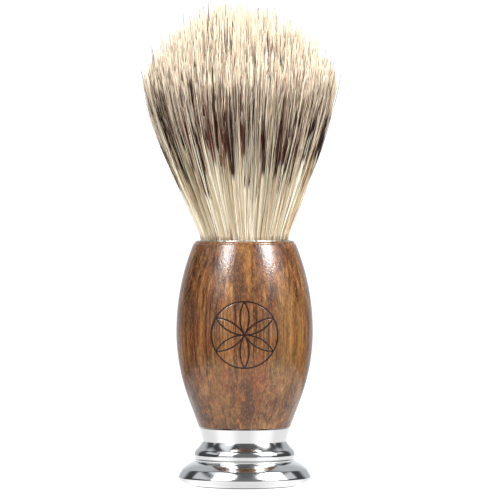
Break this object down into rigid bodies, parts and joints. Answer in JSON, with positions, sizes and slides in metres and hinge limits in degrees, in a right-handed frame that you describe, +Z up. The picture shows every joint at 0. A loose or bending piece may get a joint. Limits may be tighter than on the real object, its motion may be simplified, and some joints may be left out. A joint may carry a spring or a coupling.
{
  "type": "shaving brush",
  "caption": "Wet-shaving brush with a bulb-shaped knot of banded hair, a turned wooden handle and a polished flared metal foot it stands on.",
  "frame": {"origin": "centre of the flat ring under the foot, on the surface the brush stands on", "axes": "+Z up along the brush's turning axis, from the foot to the hair; the engraved mark faces -Y"},
  "size_m": [0.0466, 0.0466, 0.116],
  "materials": {
    "foot_chrome": "polished chrome plating on a zinc casting",
    "pad_felt": "dark pressed felt",
    "fastener_steel": "zinc-plated steel",
    "insert_brass": "turned brass",
    "handle_wood": "walnut-brown, upright grain, semi-gloss lacquer",
    "epoxy": "clear amber epoxy",
    "ferrule_metal": "thin drawn aluminium cup, satin",
    "resin": "cast amber resin",
    "thread": "waxed cotton thread",
    "hair": "natural hair, cream tips and base with a dark brown band"
  },
  "bodies": {
    "root": {"foot": "foot_chrome", "foot_pad": "pad_felt", "foot_screw": "fastener_steel", "lock_washer": "fastener_steel", "flat_washer": "fastener_steel", "threaded_insert": "insert_brass", "handle": "handle_wood", "socket_adhesive": "epoxy", "ferrule": "ferrule_metal", "knot_resin": "resin", "knot_binding": "thread", "bristle_bundle": "hair"}
  },
  "joints": []
}
